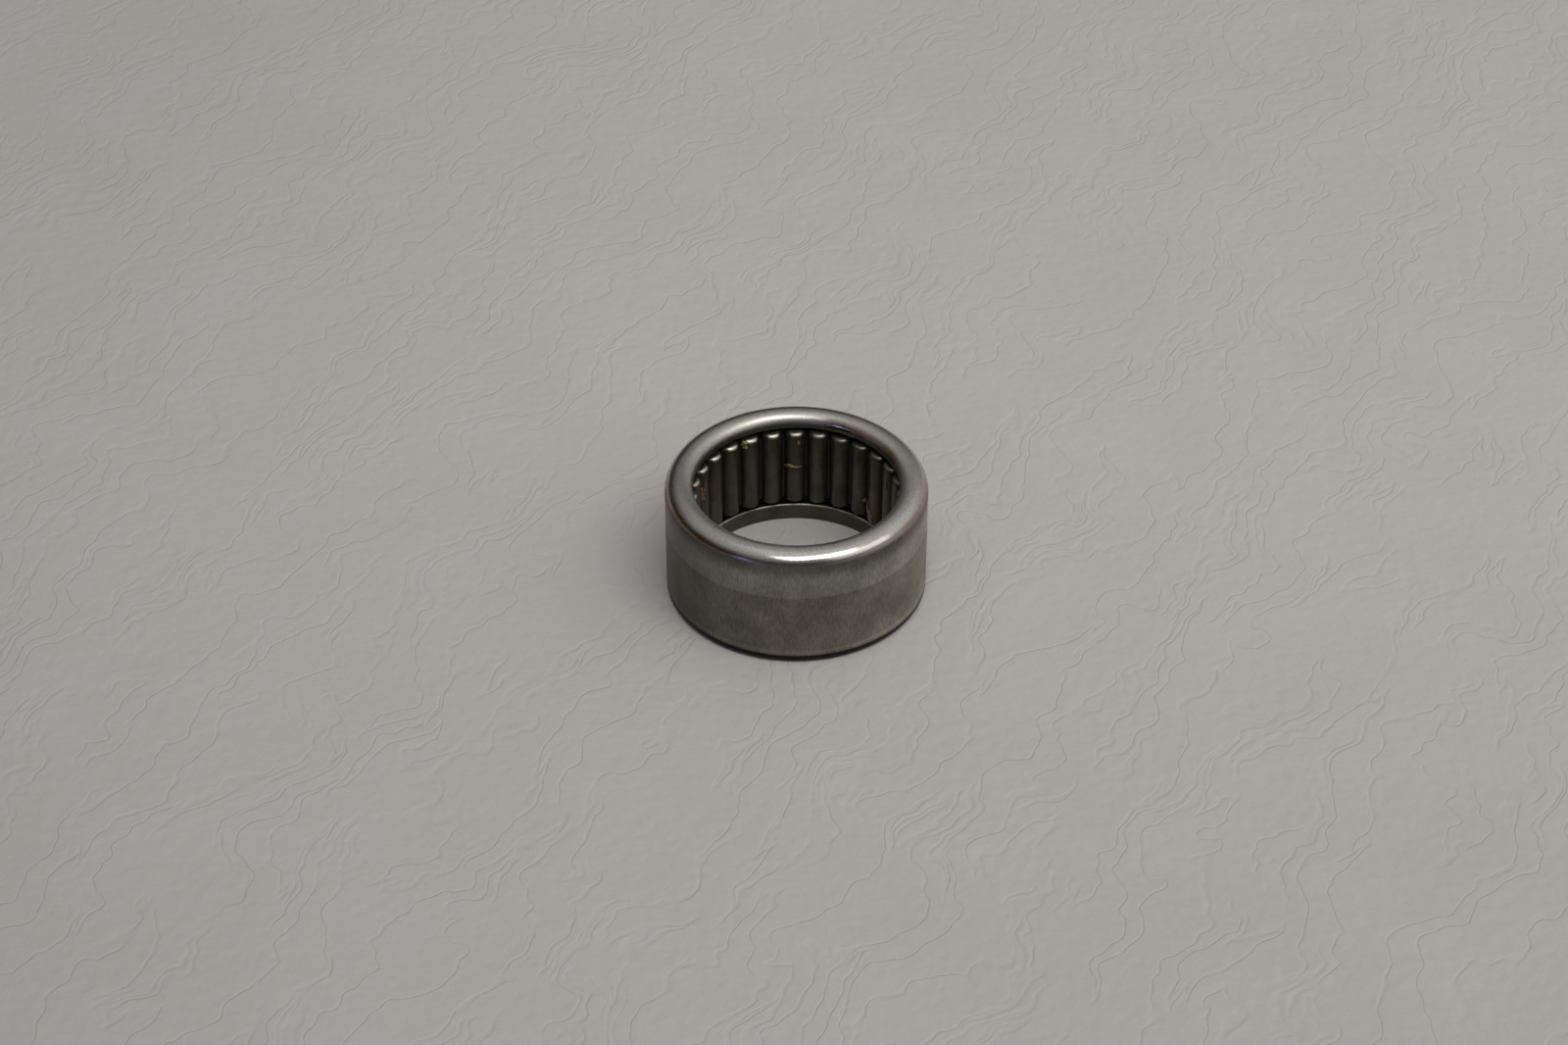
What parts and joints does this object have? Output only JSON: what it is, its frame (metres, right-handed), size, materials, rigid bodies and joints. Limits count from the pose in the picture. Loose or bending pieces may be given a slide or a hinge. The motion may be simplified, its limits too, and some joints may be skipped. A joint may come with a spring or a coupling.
{
  "type": "needle roller bearing",
  "caption": "Drawn-cup needle roller bearing: thin steel cup with turned-in rounded lips holding a cage of loose-running needle rollers that carry a shaft.",
  "frame": {"origin": "on the bearing's axis, in the plane of the lower end face, on which it stands", "axes": "+Z along the bearing's axis, from the drawn lip's face to the rolled lip's face; +Y from the viewer's side to the far side of the bearing"},
  "size_m": [0.0381, 0.038, 0.0191],
  "materials": {
    "cup_steel": "case-hardened steel, axial draw lines on the seat, polished lips, lightly oiled",
    "cage_steel": "dark oiled steel strip",
    "roller_steel": "ground bearing steel under a film of grease"
  },
  "bodies": {
    "cup": {"outer_cup": "cup_steel"},
    "cage": {"cage": "cage_steel"},
    "roller_01": {"needle_roller_01": "roller_steel"},
    "roller_02": {"needle_roller_02": "roller_steel"},
    "roller_03": {"needle_roller_03": "roller_steel"},
    "roller_04": {"needle_roller_04": "roller_steel"},
    "roller_05": {"needle_roller_05": "roller_steel"},
    "roller_06": {"needle_roller_06": "roller_steel"},
    "roller_07": {"needle_roller_07": "roller_steel"},
    "roller_08": {"needle_roller_08": "roller_steel"},
    "roller_09": {"needle_roller_09": "roller_steel"},
    "roller_10": {"needle_roller_10": "roller_steel"},
    "roller_11": {"needle_roller_11": "roller_steel"},
    "roller_12": {"needle_roller_12": "roller_steel"},
    "roller_13": {"needle_roller_13": "roller_steel"},
    "roller_14": {"needle_roller_14": "roller_steel"},
    "roller_15": {"needle_roller_15": "roller_steel"},
    "roller_16": {"needle_roller_16": "roller_steel"},
    "roller_17": {"needle_roller_17": "roller_steel"},
    "roller_18": {"needle_roller_18": "roller_steel"},
    "roller_19": {"needle_roller_19": "roller_steel"},
    "roller_20": {"needle_roller_20": "roller_steel"},
    "roller_21": {"needle_roller_21": "roller_steel"},
    "roller_22": {"needle_roller_22": "roller_steel"},
    "roller_23": {"needle_roller_23": "roller_steel"},
    "roller_24": {"needle_roller_24": "roller_steel"},
    "roller_25": {"needle_roller_25": "roller_steel"},
    "roller_26": {"needle_roller_26": "roller_steel"},
    "roller_27": {"needle_roller_27": "roller_steel"},
    "roller_28": {"needle_roller_28": "roller_steel"}
  },
  "joints": [
    {"name": "cage_spin", "type": "hinge", "parent": "cup", "child": "cage", "pos_m": [0, 0, 0.00953], "axis": [0, 0, 1], "continuous": true},
    {"name": "roller_01_spin", "type": "hinge", "parent": "cage", "child": "roller_01", "pos_m": [-0.00021, 0.01587, 0.00953], "axis": [0, 0, 1], "continuous": true},
    {"name": "roller_02_spin", "type": "hinge", "parent": "cage", "child": "roller_02", "pos_m": [0.00333, 0.01552, 0.00953], "axis": [0, 0, 1], "continuous": true},
    {"name": "roller_03_spin", "type": "hinge", "parent": "cage", "child": "roller_03", "pos_m": [0.0067, 0.01439, 0.00953], "axis": [0, 0, 1], "continuous": true},
    {"name": "roller_04_spin", "type": "hinge", "parent": "cage", "child": "roller_04", "pos_m": [0.00973, 0.01254, 0.00953], "axis": [0, 0, 1], "continuous": true},
    {"name": "roller_05_spin", "type": "hinge", "parent": "cage", "child": "roller_05", "pos_m": [0.01228, 0.01006, 0.00953], "axis": [0, 0, 1], "continuous": true},
    {"name": "roller_06_spin", "type": "hinge", "parent": "cage", "child": "roller_06", "pos_m": [0.01421, 0.00707, 0.00953], "axis": [0, 0, 1], "continuous": true},
    {"name": "roller_07_spin", "type": "hinge", "parent": "cage", "child": "roller_07", "pos_m": [0.01543, 0.00373, 0.00953], "axis": [0, 0, 1], "continuous": true},
    {"name": "roller_08_spin", "type": "hinge", "parent": "cage", "child": "roller_08", "pos_m": [0.01587, 0.00021, 0.00953], "axis": [0, 0, 1], "continuous": true},
    {"name": "roller_09_spin", "type": "hinge", "parent": "cage", "child": "roller_09", "pos_m": [0.01552, -0.00333, 0.00953], "axis": [0, 0, 1], "continuous": true},
    {"name": "roller_10_spin", "type": "hinge", "parent": "cage", "child": "roller_10", "pos_m": [0.01439, -0.0067, 0.00953], "axis": [0, 0, 1], "continuous": true},
    {"name": "roller_11_spin", "type": "hinge", "parent": "cage", "child": "roller_11", "pos_m": [0.01254, -0.00973, 0.00953], "axis": [0, 0, 1], "continuous": true},
    {"name": "roller_12_spin", "type": "hinge", "parent": "cage", "child": "roller_12", "pos_m": [0.01006, -0.01228, 0.00953], "axis": [0, 0, 1], "continuous": true},
    {"name": "roller_13_spin", "type": "hinge", "parent": "cage", "child": "roller_13", "pos_m": [0.00707, -0.01421, 0.00953], "axis": [0, 0, 1], "continuous": true},
    {"name": "roller_14_spin", "type": "hinge", "parent": "cage", "child": "roller_14", "pos_m": [0.00373, -0.01543, 0.00953], "axis": [0, 0, 1], "continuous": true},
    {"name": "roller_15_spin", "type": "hinge", "parent": "cage", "child": "roller_15", "pos_m": [0.00021, -0.01587, 0.00953], "axis": [0, 0, 1], "continuous": true},
    {"name": "roller_16_spin", "type": "hinge", "parent": "cage", "child": "roller_16", "pos_m": [-0.00333, -0.01552, 0.00953], "axis": [0, 0, 1], "continuous": true},
    {"name": "roller_17_spin", "type": "hinge", "parent": "cage", "child": "roller_17", "pos_m": [-0.0067, -0.01439, 0.00953], "axis": [0, 0, 1], "continuous": true},
    {"name": "roller_18_spin", "type": "hinge", "parent": "cage", "child": "roller_18", "pos_m": [-0.00973, -0.01254, 0.00953], "axis": [0, 0, 1], "continuous": true},
    {"name": "roller_19_spin", "type": "hinge", "parent": "cage", "child": "roller_19", "pos_m": [-0.01228, -0.01006, 0.00953], "axis": [0, 0, 1], "continuous": true},
    {"name": "roller_20_spin", "type": "hinge", "parent": "cage", "child": "roller_20", "pos_m": [-0.01421, -0.00707, 0.00953], "axis": [0, 0, 1], "continuous": true},
    {"name": "roller_21_spin", "type": "hinge", "parent": "cage", "child": "roller_21", "pos_m": [-0.01543, -0.00373, 0.00953], "axis": [0, 0, 1], "continuous": true},
    {"name": "roller_22_spin", "type": "hinge", "parent": "cage", "child": "roller_22", "pos_m": [-0.01587, -0.00021, 0.00953], "axis": [0, 0, 1], "continuous": true},
    {"name": "roller_23_spin", "type": "hinge", "parent": "cage", "child": "roller_23", "pos_m": [-0.01552, 0.00333, 0.00953], "axis": [0, 0, 1], "continuous": true},
    {"name": "roller_24_spin", "type": "hinge", "parent": "cage", "child": "roller_24", "pos_m": [-0.01439, 0.0067, 0.00953], "axis": [0, 0, 1], "continuous": true},
    {"name": "roller_25_spin", "type": "hinge", "parent": "cage", "child": "roller_25", "pos_m": [-0.01254, 0.00973, 0.00953], "axis": [0, 0, 1], "continuous": true},
    {"name": "roller_26_spin", "type": "hinge", "parent": "cage", "child": "roller_26", "pos_m": [-0.01006, 0.01228, 0.00953], "axis": [0, 0, 1], "continuous": true},
    {"name": "roller_27_spin", "type": "hinge", "parent": "cage", "child": "roller_27", "pos_m": [-0.00707, 0.01421, 0.00953], "axis": [0, 0, 1], "continuous": true},
    {"name": "roller_28_spin", "type": "hinge", "parent": "cage", "child": "roller_28", "pos_m": [-0.00373, 0.01543, 0.00953], "axis": [0, 0, 1], "continuous": true}
  ],
  "couplings": [
    {"joint": "roller_01_spin", "follows": "cage_spin", "ratio": -11},
    {"joint": "roller_02_spin", "follows": "cage_spin", "ratio": -11},
    {"joint": "roller_03_spin", "follows": "cage_spin", "ratio": -11},
    {"joint": "roller_04_spin", "follows": "cage_spin", "ratio": -11},
    {"joint": "roller_05_spin", "follows": "cage_spin", "ratio": -11},
    {"joint": "roller_06_spin", "follows": "cage_spin", "ratio": -11},
    {"joint": "roller_07_spin", "follows": "cage_spin", "ratio": -11},
    {"joint": "roller_08_spin", "follows": "cage_spin", "ratio": -11},
    {"joint": "roller_09_spin", "follows": "cage_spin", "ratio": -11},
    {"joint": "roller_10_spin", "follows": "cage_spin", "ratio": -11},
    {"joint": "roller_11_spin", "follows": "cage_spin", "ratio": -11},
    {"joint": "roller_12_spin", "follows": "cage_spin", "ratio": -11},
    {"joint": "roller_13_spin", "follows": "cage_spin", "ratio": -11},
    {"joint": "roller_14_spin", "follows": "cage_spin", "ratio": -11},
    {"joint": "roller_15_spin", "follows": "cage_spin", "ratio": -11},
    {"joint": "roller_16_spin", "follows": "cage_spin", "ratio": -11},
    {"joint": "roller_17_spin", "follows": "cage_spin", "ratio": -11},
    {"joint": "roller_18_spin", "follows": "cage_spin", "ratio": -11},
    {"joint": "roller_19_spin", "follows": "cage_spin", "ratio": -11},
    {"joint": "roller_20_spin", "follows": "cage_spin", "ratio": -11},
    {"joint": "roller_21_spin", "follows": "cage_spin", "ratio": -11},
    {"joint": "roller_22_spin", "follows": "cage_spin", "ratio": -11},
    {"joint": "roller_23_spin", "follows": "cage_spin", "ratio": -11},
    {"joint": "roller_24_spin", "follows": "cage_spin", "ratio": -11},
    {"joint": "roller_25_spin", "follows": "cage_spin", "ratio": -11},
    {"joint": "roller_26_spin", "follows": "cage_spin", "ratio": -11},
    {"joint": "roller_27_spin", "follows": "cage_spin", "ratio": -11},
    {"joint": "roller_28_spin", "follows": "cage_spin", "ratio": -11}
  ]
}
